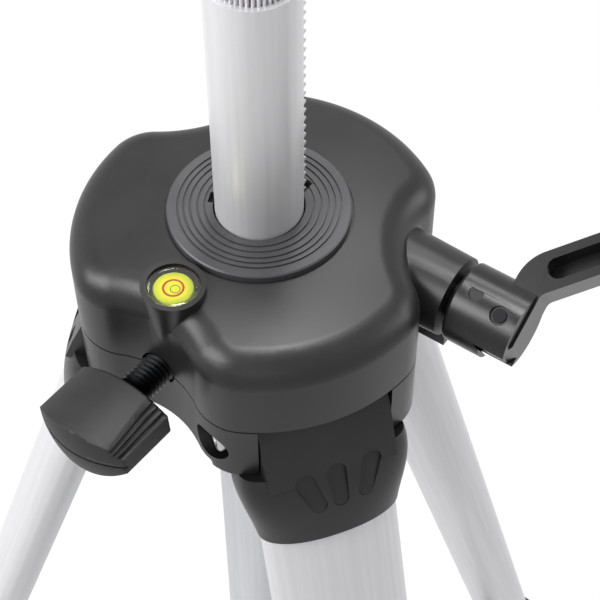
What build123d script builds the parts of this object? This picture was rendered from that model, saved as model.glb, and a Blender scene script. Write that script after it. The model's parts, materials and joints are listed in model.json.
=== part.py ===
from build123d import *
import os
from math import acos, asin, atan2, cos, degrees, hypot, pi, radians, sin, tan

# Tripod with a geared centre column. Millimetres and degrees. The origin is the centre of the
# instrument seat on top of the column, +Z is up, and leg 1 points along -Y.

# Head and column
head_height = 16.0
head_radius = 11.0
head_spigot = 22.0
knurl_count = 48
knurl_side = 0.8
stud_radius = 3.175
stud_length = 6.5
stud_tip = 0.6
stud_root_radius = 4.76
stud_depth = 12.0
column_radius = 12.5
column_bore = 10.0
column_show = 82.5
column_length = 460.0
bush_length = 14.0

# Rack on the column and the pinion that drives it
rack_angle = 34.0
rack_half = 6.7
rack_tip = 13.4
rack_root = 11.25
rack_pitch_line = 12.45
gear_module = 1.0
pinion_teeth = 12
pressure_angle = 25.0
rack_ease = 0.1
pinion_ease = 0.2
pinion_tip = 6.8
pinion_root = 4.75
pinion_half = 5.5
rack_bottom_below_collar = 325.0

# Crown: depths are below the collar's top
collar_radius = 26.0
collar_hole = 13.0
collar_thick = 2.5
groove_radii = (22.9, 21.2, 19.4, 17.3, 15.3)
groove_half = 0.35
groove_depth = 0.5
cover_below = 1.0
seam_below = 33.0
seam_groove = 0.5
housing_below = 43.0
skirt_below = 53.0
skirt_wall = 4.0
lug_below = 55.0
hinge_below = 45.0
crown_radius = 54.4
waist_round = 30.0
waist_centre = 72.7
shoulder_round = 15.0
cover_round = 10.0
cover_dome = 324.0
cover_wall = 5.0
cover_roof = 4.0
collar_gap = 0.6
roof_hole = 18.6
sleeve_radius = 17.5
column_ease = 0.8
screw_radius = 1.8
screw_head = 3.6
screw_head_thick = 2.6
screw_post = 4.5
screw_depth = 16.0
screw_spots = ((90.0, 33.0), (-48.0, 41.0), (-12.0, 41.0))

# Crank shaft, hub and folding arm
shaft_angle = -56.0
shaft_below = 21.3
shaft_offset = 18.45
shaft_radius = 4.0
shaft_inner_end = -14.0
shaft_outer_end = 56.0
boss_root = 30.0
boss_end = 55.0
boss_root_radius = 12.8
boss_end_radius = 12.1
bush_start = 41.0
bush_outer = 8.5
hub_neck = 6.4
hub_start = 57.0
hub_end = 77.0
hub_radius = 12.0
arm_lean = 31.8
arm_pin_at = 71.5
arm_pin_radius = 2.0
arm_half = 6.5
arm_width = 11.2
arm_bend = 46.4
arm_run = 42.0
arm_bend_at = (76.1, 17.15)
arm_left = 69.2
arm_right = 77.7
arm_tail = -9.8
pocket_width = 6.0
pocket_floor = -3.5
grip_radius = 7.5
grip_length = 27.0
grip_axle_radius = 3.0
rib_half = 2.2
rib_end = 53.5

# Column lock
lock_angle = 210.0
lock_below = 33.0
lock_aside = -2.4
lock_screw_radius = 5.0
lock_tip_radius = 3.0
shoe_gap = 0.7
shoe_back = 24.0
nut_start = 28.5
nut_thick = 6.5
nut_flats = 16.0
knob_start = 56.0
knob_end = 79.0
knob_half_width = 16.2
knob_edge = (-2.5, 3.8)
knob_crest = (4.0, -7.9)
knob_back_flat = (9.0, 7.6)
knob_front_flat = (12.2, 6.4)
knob_ribs = (0.3, 0.55, 0.8)
knob_turn = 5.0
knob_dome = 30.0
knob_groove_half = 0.4
knob_groove_depth = 0.8

# Bubble level
level_angle = 210.0
level_radial = 36.5
cup_radius = 9.0
cup_foot_radius = 5.0
cup_depth = 28.0
vial_radius = 7.5
vial_depth = 6.0
liquid_radius = 5.6
liquid_depth = 4.0

# Guide tube and leg spreader
guide_radius = 16.4
guide_bore = 15.6
guide_seat = 4.0
guide_bottom_below = 485.0
spreader_below = 300.0
spreader_pivot_radius = 33.0
spreader_hub_radius = 19.0
spreader_hub_half = 12.0
spreader_half = 3.3
spreader_bar = 9.0
spreader_rivet = 2.0
bracket_along = 520.0
bracket_in = 18.0

# Legs: distances run down the leg from its hinge
leg_angles = (-90.0, 30.0, 150.0)
leg_tilt = 18.5
hinge_radius = 40.7
hinge_pin_radius = 3.0
hinge_pin_half = 26.0
hinge_head_radius = 3.6
hinge_head_thick = 4.6
slot_half = 20.2
slot_inner = 28.5
lug_reach = 31.2
lug_span = (30.0, 53.0)
lug_round = 7.0
lug_face = 22.8
skirt_clear = 27.5
lug_pocket_radius = 5.8
neck_half = 19.7
neck_radius = 11.2
leg_top_end = 39.0
leg_top_sections = (
    (12.0, 25.6, 11.9, 3.4),
    (17.0, 26.3, 12.4, 3.3),
    (28.0, 24.8, 12.3, 2.8),
    (39.0, 22.3, 11.2, 2.2),
)
section_points = 32
finger_ends = ((3.2, 3.1), (-7.0, 2.4))
finger_spots = ((-7.8, 19.0, 19.0), (1.0, 18.5, 2.0), (11.0, 18.0, -16.0))
finger_floor = 9.5
finger_slope = 0.096
upper_section = (21.5, 10.0)
middle_section = (19.5, 8.0)
lower_section = (17.6, 6.1)
tube_walls = (1.5, 1.4, 1.2)
upper_span = (24.0, 600.0)
middle_span = (60.0, 650.0)
lower_span = (80.0, 700.0)
tube_ease = 0.35
upper_clamp_span = (582.0, 632.0)
lower_clamp_span = (636.0, 682.0)
clamp_wall = 3.5
ear_inner = 9.3
ear_outer = 13.3
ear_radius = 5.0
lever_half = 9.0
lever_barrel = 4.0
lever_pin = 1.9
lever_length = 34.0
lever_rise = 5.0
foot_start = 688.0
foot_centre = 706.0
foot_radius = 14.0

running_ease = 0.06

# Heights and places worked out from the sizes above
column_top = -head_height
collar_top = column_top - column_show
column_bottom = column_top - column_length
cover_top = collar_top - cover_below
roof_under = cover_top - cover_roof
seam_z = collar_top - seam_below
housing_bottom = collar_top - housing_below
skirt_bottom = collar_top - skirt_below
lug_bottom = collar_top - lug_below
hinge_z = collar_top - hinge_below
shaft_z = collar_top - shaft_below
lock_z = collar_top - lock_below
guide_top = housing_bottom + guide_seat
guide_bottom = collar_top - guide_bottom_below
spreader_z = collar_top - spreader_below
rack_pitch = pi * gear_module
pinion_pitch_radius = gear_module * pinion_teeth / 2


def compass(angle):
    return Vector(cos(radians(angle)), sin(radians(angle)), 0)


def at(angle, radius, height):
    return compass(angle) * radius + Vector(0, 0, height)


def across(angle, height):
    # Plane square to a level line that runs outwards: X to the left of up, Y up, Z outwards
    return Plane(origin=(0, 0, height), x_dir=compass(angle + 90), z_dir=compass(angle))


def upright(angle):
    # Plane through the column's axis: X outwards, Y up
    return Plane(origin=(0, 0, 0), x_dir=compass(angle), z_dir=compass(angle - 90))


shaft_origin = at(rack_angle, shaft_offset, shaft_z)
shaft_plane = Plane(origin=shaft_origin, x_dir=compass(rack_angle), z_dir=compass(shaft_angle))
arm_normal = compass(rack_angle) * -sin(radians(arm_lean)) + Vector(0, 0, cos(radians(arm_lean)))
arm_plane = Plane(origin=shaft_origin, x_dir=compass(shaft_angle), z_dir=arm_normal)
lock_plane = Plane(
    origin=at(lock_angle + 90, lock_aside, lock_z),
    x_dir=compass(lock_angle + 90),
    z_dir=compass(lock_angle),
)
knob_across = lock_plane.x_dir * cos(radians(knob_turn)) + lock_plane.y_dir * sin(radians(knob_turn))
knob_plane = Plane(origin=lock_plane.origin, x_dir=knob_across, z_dir=lock_plane.z_dir)


def leg_plane(angle):
    # Plane square to a leg at its hinge: X along the hinge, Y outwards, Z down the leg
    down = compass(angle) * sin(radians(leg_tilt)) - Vector(0, 0, cos(radians(leg_tilt)))
    return Plane(origin=at(angle, hinge_radius, hinge_z), x_dir=compass(angle + 90), z_dir=down)


def leg_side(leg):
    # Plane along a leg: X outwards, Y down the leg
    return Plane(origin=leg.origin, x_dir=leg.y_dir, z_dir=leg.x_dir)


def crown_plan(inset=0.0):
    with BuildSketch() as plan:
        Circle(crown_radius - inset)
        with PolarLocations(waist_centre, 3, start_angle=leg_angles[0] + 60):
            Circle(waist_round + inset, mode=Mode.SUBTRACT)
        fillet(plan.vertices(), shoulder_round - inset)
    return plan.sketch


def save(piece, name):
    piece.part.label = name
    export_step(piece.part, f"parts/{name}.step")


os.makedirs("parts", exist_ok=True)

# Column: tube with a toothed strip along one side
gap_half = (rack_pitch / 2 + rack_ease) / 2
gap_slope = tan(radians(pressure_angle))
gap_root = gap_half - (rack_pitch_line - rack_root) * gap_slope
gap_mouth = gap_half + (rack_tip + 0.1 - rack_pitch_line) * gap_slope
teeth_up = int((column_top - shaft_z) / rack_pitch)
teeth_down = int((shaft_z - collar_top + rack_bottom_below_collar) / rack_pitch)
rack_plane = Plane(origin=(0, 0, shaft_z), x_dir=compass(rack_angle), z_dir=compass(shaft_angle))
with BuildPart() as column_tube:
    with BuildSketch(Plane.XY.offset(column_bottom)):
        Circle(column_radius)
        with PolarLocations((column_bore + rack_tip) / 2, 1, start_angle=rack_angle):
            Rectangle(rack_tip - column_bore, 2 * rack_half)
        Circle(column_bore, mode=Mode.SUBTRACT)
    extrude(amount=column_length)
    with BuildSketch(rack_plane):
        with Locations([(0, step * rack_pitch) for step in range(-teeth_down, teeth_up)]):
            Polygon(
                (rack_root, -gap_root),
                (rack_tip + 0.1, -gap_mouth),
                (rack_tip + 0.1, gap_mouth),
                (rack_root, gap_root),
                align=None,
            )
    extrude(amount=rack_half + 1, both=True, mode=Mode.SUBTRACT)
save(column_tube, "column_tube")

# Head: knurled plug with a flat seat, pressed into the column
with BuildPart() as head_plug:
    with BuildSketch(Plane.XY.offset(column_top)):
        Circle(head_radius)
        with PolarLocations(head_radius, knurl_count):
            Rectangle(knurl_side, knurl_side, rotation=45, mode=Mode.SUBTRACT)
    extrude(amount=head_height)
    with BuildSketch(Plane.XY.offset(column_top)):
        Circle(column_bore)
    extrude(amount=-head_spigot)
    with BuildSketch():
        Circle(stud_root_radius)
    extrude(amount=-stud_depth, mode=Mode.SUBTRACT)
save(head_plug, "head_plug")

with BuildPart() as head_stud:
    with BuildSketch(Plane.XY.offset(-stud_depth)):
        Circle(stud_root_radius)
    extrude(amount=stud_depth)
    with BuildSketch():
        Circle(stud_radius)
    extrude(amount=stud_length)
    chamfer(head_stud.edges().group_by(Axis.Z)[-1], stud_tip)
save(head_stud, "head_stud")

# Bush on the column's lower end, which runs inside the guide tube
with BuildPart() as column_end_bush:
    with BuildSketch(Plane.XY.offset(column_bottom - bush_length)):
        Circle(guide_bore - running_ease)
    extrude(amount=bush_length)
    chamfer(column_end_bush.edges().group_by(Axis.Z)[0], 1)
    with BuildSketch(Plane.XY.offset(column_bottom)):
        Circle(column_bore)
    extrude(amount=head_spigot)
save(column_end_bush, "column_end_bush")

# Ribbed collar round the column
with BuildPart() as column_collar:
    with BuildSketch(Plane.XY.offset(collar_top - collar_thick)):
        Circle(collar_radius)
        Circle(collar_hole, mode=Mode.SUBTRACT)
        with PolarLocations(collar_hole, 1, start_angle=rack_angle):
            Rectangle(5, 2 * rack_half + 2, mode=Mode.SUBTRACT)
        with PolarLocations(collar_hole, 1, start_angle=146):
            Rectangle(3, 4, mode=Mode.SUBTRACT)
    extrude(amount=collar_thick)
    chamfer(column_collar.edges().group_by(Axis.Z)[-1].sort_by(SortBy.LENGTH)[-1], 0.4)
    with BuildSketch(Plane.XY.offset(collar_top)):
        for radius in groove_radii:
            Circle(radius + groove_half)
            Circle(radius - groove_half, mode=Mode.SUBTRACT)
    extrude(amount=-groove_depth, mode=Mode.SUBTRACT)
save(column_collar, "column_collar")

# Crown cover: three-lobed shell with the crank boss and the cup of the level
level_spot = at(level_angle, level_radial, 0)
screw_points = [at(angle, radius, 0) for angle, radius in screw_spots]
boss_taper = degrees(atan2(boss_root_radius - boss_end_radius, boss_end - boss_root))
rib_middle = shaft_origin + compass(shaft_angle) * (boss_root + rib_end) / 2
rib_place = Location((rib_middle.X, rib_middle.Y, 0), (0, 0, shaft_angle))
dome_centre = (0, 0, cover_top - cover_dome)
with BuildPart() as crown_hollow:
    with BuildSketch(Plane.XY.offset(seam_z)):
        add(crown_plan(cover_wall))
        with Locations([(point.X, point.Y) for point in screw_points]):
            Circle(screw_post, mode=Mode.SUBTRACT)
    extrude(amount=cover_top - seam_z)
    with Locations(dome_centre):
        Sphere(cover_dome - cover_roof, mode=Mode.INTERSECT)

with BuildPart() as crown_cover:
    with BuildSketch(Plane.XY.offset(seam_z)):
        add(crown_plan())
    extrude(amount=cover_top - seam_z)
    with Locations(dome_centre):
        Sphere(cover_dome, mode=Mode.INTERSECT)
    fillet(crown_cover.faces().sort_by(Axis.Z)[-1].edges(), cover_round)
    with BuildSketch(Plane.XY.offset(collar_top)):
        with Locations((level_spot.X, level_spot.Y)):
            Circle(cup_radius)
    with BuildSketch(Plane.XY.offset(collar_top - cup_depth)):
        with Locations((level_spot.X, level_spot.Y)):
            Circle(cup_foot_radius)
    loft()
    add(crown_hollow.part, mode=Mode.SUBTRACT)
    with BuildSketch(shaft_plane.offset(boss_root)):
        Circle(boss_root_radius)
    extrude(amount=boss_end - boss_root, taper=boss_taper)
    with BuildSketch(Plane.XY.offset(seam_z)):
        with Locations(rib_place):
            Rectangle(rib_end - boss_root, 2 * rib_half)
    extrude(amount=boss_root_radius / 2)
    split(bisect_by=Plane.XY.offset(seam_z), keep=Keep.TOP)
    with BuildSketch(Plane.XY.offset(seam_z)):
        with Locations([(point.X, point.Y) for point in screw_points]):
            Circle(screw_radius)
    extrude(amount=screw_depth, mode=Mode.SUBTRACT)
    with BuildSketch(Plane.XY.offset(collar_top)):
        with Locations((level_spot.X, level_spot.Y)):
            Circle(vial_radius)
    extrude(amount=-vial_depth, mode=Mode.SUBTRACT)
    with BuildSketch(Plane.XY.offset(collar_top - collar_thick)):
        Circle(collar_radius + collar_gap)
    extrude(amount=collar_thick, mode=Mode.SUBTRACT)
    with BuildSketch(Plane.XY.offset(roof_under - cover_roof)):
        Circle(roof_hole)
    extrude(amount=2 * cover_roof, mode=Mode.SUBTRACT)
    with BuildSketch(shaft_plane.offset(boss_root)):
        Circle(shaft_radius + 1)
    extrude(amount=boss_end - boss_root, mode=Mode.SUBTRACT)
    with BuildSketch(shaft_plane.offset(bush_start)):
        Circle(bush_outer)
    extrude(amount=boss_end - bush_start, mode=Mode.SUBTRACT)
    with BuildSketch(lock_plane.offset(nut_start)):
        Circle(lock_screw_radius + 0.6)
    extrude(amount=knob_start - nut_start, mode=Mode.SUBTRACT)
save(crown_cover, "crown_cover")

# Pair of lugs for leg 1, inside the crown's plan and round at the bottom
lug_side_plane = upright(leg_angles[0])
with BuildPart() as lug_pair:
    with BuildSketch(lug_side_plane) as lug_side:
        with Locations((lug_span[0], lug_bottom)):
            Rectangle(lug_span[1] - lug_span[0], seam_z - lug_bottom, align=(Align.MIN, Align.MIN))
        fillet(lug_side.vertices().group_by(Axis.Y)[0], lug_round)
    extrude(amount=lug_reach, both=True)
    with BuildSketch(Plane.XY.offset(lug_bottom)):
        add(crown_plan())
    extrude(amount=seam_z - lug_bottom, mode=Mode.INTERSECT)

# Crown housing: floor, lugs, column sleeve, shaft bearings and the nut's pocket
shaft_spot = Location((shaft_origin.X, shaft_origin.Y, 0), (0, 0, shaft_angle))
nut_middle = lock_plane.offset(nut_start + nut_thick / 2).origin
nut_place = Location((nut_middle.X, nut_middle.Y, 0), (0, 0, lock_angle))
bearing_half = 13.0
bearing_width = 16.0
bearing_top = shaft_z + 8
nut_block_top = seam_z + 6.5
with BuildPart() as crown_housing:
    with BuildSketch(Plane.XY.offset(housing_bottom)):
        add(crown_plan())
    extrude(amount=seam_z - housing_bottom)
    with BuildSketch(Plane.XY.offset(skirt_bottom)):
        add(crown_plan())
        add(crown_plan(skirt_wall), mode=Mode.SUBTRACT)
        with PolarLocations(slot_inner, 3, start_angle=leg_angles[0]):
            Rectangle(
                crown_radius,
                2 * skirt_clear,
                align=(Align.MIN, Align.CENTER),
                mode=Mode.SUBTRACT,
            )
    extrude(amount=housing_bottom - skirt_bottom)
    with PolarLocations(0, 3):
        add(lug_pair.part)
    with BuildSketch(Plane.XY.offset(seam_z)):
        add(crown_plan())
        add(crown_plan(seam_groove), mode=Mode.SUBTRACT)
    extrude(amount=-seam_groove, mode=Mode.SUBTRACT)
    with BuildSketch(Plane.XY.offset(seam_z)):
        Circle(sleeve_radius)
    extrude(amount=collar_top - collar_thick - seam_z)
    with BuildSketch(Plane.XY.offset(seam_z)):
        with Locations(shaft_spot):
            Rectangle(2 * bearing_half, bearing_width)
    extrude(amount=bearing_top - seam_z)
    with BuildSketch(Plane.XY.offset(seam_z)):
        with Locations(nut_place):
            Rectangle(nut_thick + 4.5, nut_flats + 5)
    extrude(amount=nut_block_top - seam_z)
    with BuildSketch(Plane.XY.offset(housing_bottom)):
        with Locations(rib_place):
            Rectangle(rib_end - boss_root, 2 * rib_half)
    extrude(amount=seam_z - housing_bottom)
    with BuildSketch(Plane.XY.offset(lug_bottom)):
        with PolarLocations(slot_inner, 3, start_angle=leg_angles[0]):
            Rectangle(crown_radius, 2 * slot_half, align=(Align.MIN, Align.CENTER))
    extrude(amount=seam_z - lug_bottom, mode=Mode.SUBTRACT)
    for angle in leg_angles:
        with BuildSketch(upright(angle)):
            with Locations((hinge_radius, hinge_z)):
                Circle(hinge_pin_radius)
        extrude(amount=hinge_pin_half, both=True, mode=Mode.SUBTRACT)
        with BuildSketch(upright(angle).offset(lug_face)):
            with Locations((hinge_radius, hinge_z)):
                Circle(lug_pocket_radius)
        extrude(amount=lug_reach, mode=Mode.SUBTRACT)
    with BuildSketch(Plane.XY.offset(housing_bottom)):
        Circle(column_radius + column_ease)
        with PolarLocations(column_radius, 1, start_angle=rack_angle):
            Rectangle(2 * (rack_tip + 0.5 - column_radius), 2 * rack_half + 1)
    extrude(amount=collar_top - housing_bottom, mode=Mode.SUBTRACT)
    with BuildSketch(Plane.XY.offset(housing_bottom)):
        Circle(guide_radius)
    extrude(amount=guide_seat, mode=Mode.SUBTRACT)
    with BuildSketch(shaft_plane):
        Circle(pinion_tip + 0.8)
    extrude(amount=pinion_half + 0.7, both=True, mode=Mode.SUBTRACT)
    with BuildSketch(shaft_plane.offset(shaft_inner_end)):
        Circle(shaft_radius + running_ease)
    extrude(amount=boss_end, mode=Mode.SUBTRACT)
    with BuildSketch(lock_plane.offset(column_radius - 4)):
        Rectangle(12.2, 11.6)
    extrude(amount=shoe_back + 7 - column_radius, mode=Mode.SUBTRACT)
    with BuildSketch(lock_plane.offset(column_radius)):
        Circle(lock_screw_radius + 0.6)
    extrude(amount=knob_start - column_radius, mode=Mode.SUBTRACT)
    with BuildSketch(Plane.XY.offset(lock_z - nut_flats / 2)):
        with Locations(nut_place):
            Rectangle(nut_thick, nut_flats)
    extrude(amount=2 * nut_flats, mode=Mode.SUBTRACT)
    with BuildSketch(Plane.XY.offset(housing_bottom)):
        with Locations([(point.X, point.Y) for point in screw_points]):
            Circle(screw_radius)
    extrude(amount=seam_z - housing_bottom, mode=Mode.SUBTRACT)
    with BuildSketch(Plane.XY.offset(housing_bottom)):
        with Locations([(point.X, point.Y) for point in screw_points]):
            Circle(screw_head + 0.4)
    extrude(amount=screw_head_thick, mode=Mode.SUBTRACT)
save(crown_housing, "crown_housing")

with BuildPart() as crown_screws:
    with BuildSketch(Plane.XY.offset(housing_bottom)):
        with Locations([(point.X, point.Y) for point in screw_points]):
            Circle(screw_head)
    extrude(amount=screw_head_thick)
    with BuildSketch(Plane.XY.offset(housing_bottom)):
        with Locations([(point.X, point.Y) for point in screw_points]):
            Circle(screw_radius)
    extrude(amount=seam_z - housing_bottom + screw_depth)
save(crown_screws, "crown_screws")

# Hinge pins with one head each, blind in the lug on the other side
with BuildPart() as leg_hinge_pins:
    for angle in leg_angles:
        with BuildSketch(upright(angle).offset(-hinge_pin_half)):
            with Locations((hinge_radius, hinge_z)):
                Circle(hinge_pin_radius)
        extrude(amount=hinge_pin_half + lug_face)
        with BuildSketch(upright(angle).offset(lug_face)):
            with Locations((hinge_radius, hinge_z)):
                Circle(hinge_head_radius)
        extrude(amount=hinge_head_thick)
save(leg_hinge_pins, "leg_hinge_pins")

# Level: clear vial over its coloured liquid
with BuildPart() as level_vial:
    with BuildSketch(Plane.XY.offset(collar_top - vial_depth)):
        with Locations((level_spot.X, level_spot.Y)):
            Circle(vial_radius)
    extrude(amount=vial_depth - 0.4)
    with BuildSketch(Plane.XY.offset(collar_top - vial_depth)):
        with Locations((level_spot.X, level_spot.Y)):
            Circle(liquid_radius)
    extrude(amount=liquid_depth, mode=Mode.SUBTRACT)
save(level_vial, "level_vial")

with BuildPart() as level_disc:
    with BuildSketch(Plane.XY.offset(collar_top - vial_depth)):
        with Locations((level_spot.X, level_spot.Y)):
            Circle(liquid_radius)
    extrude(amount=liquid_depth)
save(level_disc, "level_disc")

# Guide tube below the crown
with BuildPart() as guide_tube:
    with BuildSketch(Plane.XY.offset(guide_bottom)):
        Circle(guide_radius)
        Circle(guide_bore, mode=Mode.SUBTRACT)
    extrude(amount=guide_top - guide_bottom)
save(guide_tube, "guide_tube")

ferrule_bore = 11.0
ferrule_spigot = 12.0
ferrule_lip = 4.0
with BuildPart() as guide_ferrule:
    with BuildSketch(Plane.XY.offset(guide_bottom - ferrule_lip)):
        Circle(guide_radius + 1.2)
    extrude(amount=ferrule_lip)
    fillet(guide_ferrule.edges().group_by(Axis.Z)[0], 1)
    with BuildSketch(Plane.XY.offset(guide_bottom)):
        Circle(guide_bore)
    extrude(amount=ferrule_spigot)
    with BuildSketch(Plane.XY.offset(guide_bottom - ferrule_lip)):
        Circle(ferrule_bore)
    extrude(amount=ferrule_lip + ferrule_spigot, mode=Mode.SUBTRACT)
save(guide_ferrule, "guide_ferrule")

# Crank shaft with its pinion
with BuildPart() as crank_shaft:
    with BuildSketch(shaft_plane.offset(shaft_inner_end)):
        Circle(shaft_radius)
    extrude(amount=shaft_outer_end - shaft_inner_end)
save(crank_shaft, "crank_shaft")


def roll(angle):
    return tan(angle) - angle


base_radius = pinion_pitch_radius * cos(radians(pressure_angle))
tooth_half_angle = (rack_pitch / 2 - pinion_ease) / 2 / pinion_pitch_radius
gap_step = pi / pinion_teeth


def gap_edge(radius):
    # Angle from the middle of a tooth gap to its involute flank
    turn = acos(min(1.0, base_radius / radius))
    return gap_step - tooth_half_angle - roll(radians(pressure_angle)) + roll(turn)


flank_radii = (pinion_root, base_radius, 5.7, 6.0, 6.4, pinion_tip)
flank = [(radius * cos(gap_edge(radius)), radius * sin(gap_edge(radius))) for radius in flank_radii]
flank.append((pinion_tip + 1, flank[-1][1]))
mirrored_flank = [(x, -y) for x, y in reversed(flank)]
with BuildPart() as rack_pinion:
    with BuildSketch(shaft_plane.offset(-pinion_half)):
        Circle(pinion_tip)
        with PolarLocations(0, pinion_teeth, start_angle=degrees(gap_step)):
            Polygon(*flank, *mirrored_flank, align=None, mode=Mode.SUBTRACT)
        Circle(shaft_radius, mode=Mode.SUBTRACT)
    extrude(amount=2 * pinion_half)
save(rack_pinion, "rack_pinion")

with BuildPart() as shaft_bush:
    with BuildSketch(shaft_plane.offset(bush_start)):
        Circle(bush_outer)
        Circle(hub_neck + running_ease, mode=Mode.SUBTRACT)
    extrude(amount=boss_end - bush_start)
save(shaft_bush, "shaft_bush")

# Crank hub: round, forked for the arm, with a neck that turns in the bush
pocket_radius = 10.9
with BuildPart() as crank_hub:
    with BuildSketch(shaft_plane.offset(hub_start)):
        Circle(hub_radius)
    extrude(amount=hub_end - hub_start)
    fillet(crank_hub.edges().sort_by(Axis((0, 0, 0), compass(shaft_angle)))[0], 1)
    with BuildSketch(shaft_plane.offset(bush_start)):
        Circle(hub_neck)
    extrude(amount=hub_start - bush_start)
    with BuildSketch(shaft_plane.offset(bush_start)):
        Circle(shaft_radius)
    extrude(amount=shaft_outer_end - bush_start, mode=Mode.SUBTRACT)
    with BuildSketch(arm_plane):
        with Locations((arm_pin_at, 0)):
            Circle(pocket_radius)
        with Locations((arm_left - 0.1, pocket_radius / 2 + 0.6)):
            Rectangle(pocket_radius, pocket_radius, align=(Align.MAX, Align.MIN), mode=Mode.SUBTRACT)
        with Locations((arm_left - 0.1, 0)):
            Rectangle(pocket_radius, 3 * hub_radius, align=(Align.MIN, Align.CENTER))
    extrude(amount=arm_half + 0.15, both=True, mode=Mode.SUBTRACT)
    with BuildSketch(arm_plane):
        with Locations((arm_pin_at, 0)):
            Circle(arm_pin_radius)
    extrude(amount=hub_radius, both=True, mode=Mode.SUBTRACT)
    with BuildSketch(arm_plane.offset(hub_radius - 1)):
        with Locations((arm_pin_at, 0)):
            Circle(arm_pin_radius + 0.8)
    extrude(amount=2, mode=Mode.SUBTRACT)
    with BuildSketch(arm_plane.offset(hub_radius - 0.6)):
        with Locations((62.8, 2.5)):
            Circle(2.2)
    extrude(amount=2, mode=Mode.SUBTRACT)
save(crank_hub, "crank_hub")

with BuildPart() as arm_pin:
    with BuildSketch(arm_plane.offset(-hub_radius + 1)):
        with Locations((arm_pin_at, 0)):
            Circle(arm_pin_radius)
    extrude(amount=2 * hub_radius - 1.5)
save(arm_pin, "arm_pin")

# Crank arm: dog-leg bar with a long pocket, a tail that stops it and an eye for the grip
bend_along = (cos(radians(arm_bend)), sin(radians(arm_bend)))
bend_start = arm_bend_at
bend_end = (bend_start[0] + arm_run * bend_along[0], bend_start[1] + arm_run * bend_along[1])
bend_side = (bend_along[1] * arm_width / 2, -bend_along[0] * arm_width / 2)
lower_end = (bend_end[0] + bend_side[0], bend_end[1] + bend_side[1])
upper_end = (bend_end[0] - bend_side[0], bend_end[1] - bend_side[1])
bend_slope = bend_along[1] / bend_along[0]
lower_turn = (arm_right, lower_end[1] - (lower_end[0] - arm_right) * bend_slope)
upper_turn = (arm_left, upper_end[1] - (upper_end[0] - arm_left) * bend_slope)
pocket_start = (bend_start[0] + 3.2 * bend_along[0], bend_start[1] + 3.2 * bend_along[1])
pocket_run = arm_run - 10.0
pocket_middle = (
    pocket_start[0] + pocket_run / 2 * bend_along[0],
    pocket_start[1] + pocket_run / 2 * bend_along[1],
)
grip_start = bend_end[0] + 8.0
grip_plane = Plane(origin=arm_plane.from_local_coords(Vector(0, bend_end[1], 0)), z_dir=compass(shaft_angle))
with BuildPart() as crank_arm:
    with BuildSketch(arm_plane.offset(-arm_half)) as arm_outline:
        with BuildLine():
            Polyline(
                (arm_left, 5),
                (arm_left - 2.4, -3),
                (arm_left - 0.7, arm_tail),
                (arm_right - 2.4, arm_tail),
                (arm_right, arm_tail + 4),
                lower_turn,
                lower_end,
                upper_end,
                upper_turn,
                close=True,
            )
        make_face()
        fillet(arm_outline.vertices().sort_by_distance((*upper_turn, 0))[0], 14)
        fillet(arm_outline.vertices().sort_by_distance((*lower_turn, 0))[0], 3)
        with Locations((arm_pin_at, 0)):
            Circle(5.5)
    extrude(amount=2 * arm_half)
    with BuildSketch(grip_plane.offset(bend_end[0] - 6)):
        Circle(arm_half)
    extrude(amount=grip_start - bend_end[0] + 5.5)
    with BuildSketch(arm_plane.offset(pocket_floor)):
        with Locations(pocket_middle):
            SlotCenterToCenter(pocket_run, pocket_width, rotation=arm_bend)
    extrude(amount=2 * arm_half, mode=Mode.SUBTRACT)
    with BuildSketch(arm_plane.offset(-arm_half)):
        with Locations((arm_pin_at, 0)):
            Circle(arm_pin_radius + running_ease)
    extrude(amount=2 * arm_half, mode=Mode.SUBTRACT)
    with BuildSketch(grip_plane.offset(bend_end[0] - 3)):
        Circle(grip_axle_radius)
    extrude(amount=20, mode=Mode.SUBTRACT)
save(crank_arm, "crank_arm")

# Grip that turns on a headed axle in the arm's eye
axle_head_thick = 2.0
axle_head_radius = 5.0
grip_end = grip_start + grip_length
with BuildPart() as grip_axle:
    with BuildSketch(grip_plane.offset(bend_end[0] - 3)):
        Circle(grip_axle_radius)
    extrude(amount=grip_end + 0.4 - bend_end[0] + 3)
    with BuildSketch(grip_plane.offset(grip_end + 0.4)):
        Circle(axle_head_radius)
    extrude(amount=axle_head_thick)
save(grip_axle, "grip_axle")

grip_waist = grip_radius - 1.3
with BuildPart() as crank_grip:
    for near, far, end_radius, next_radius in (
        (0.0, 0.4, grip_waist, grip_radius),
        (0.4, 1.0, grip_radius, grip_waist),
    ):
        with BuildSketch(grip_plane.offset(grip_start + near * grip_length)):
            Circle(end_radius)
        with BuildSketch(grip_plane.offset(grip_start + far * grip_length)):
            Circle(next_radius)
        loft()
    with BuildSketch(grip_plane.offset(grip_start)):
        Circle(grip_axle_radius + running_ease)
    extrude(amount=grip_length, mode=Mode.SUBTRACT)
save(crank_grip, "crank_grip")

# Column lock: shoe, screw, nut and knob
with BuildPart() as brake_shoe:
    with BuildSketch(lock_plane.offset(column_radius - 4)):
        Rectangle(11.6, 11)
    extrude(amount=shoe_back - column_radius + 4)
    with BuildSketch(Plane.XY.offset(lock_z - 10)):
        Circle(column_radius + shoe_gap)
    extrude(amount=20, mode=Mode.SUBTRACT)
    with BuildSketch(lock_plane.offset(shoe_back - 4)):
        Circle(lock_tip_radius + running_ease)
    extrude(amount=4, mode=Mode.SUBTRACT)
save(brake_shoe, "brake_shoe")

with BuildPart() as lock_screw:
    with BuildSketch(lock_plane.offset(shoe_back - 3.8)):
        Circle(lock_tip_radius)
    extrude(amount=5)
    with BuildSketch(lock_plane.offset(shoe_back + 0.5)):
        Circle(lock_screw_radius)
    extrude(amount=knob_start + 12 - shoe_back - 0.5)
save(lock_screw, "lock_screw")

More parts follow.
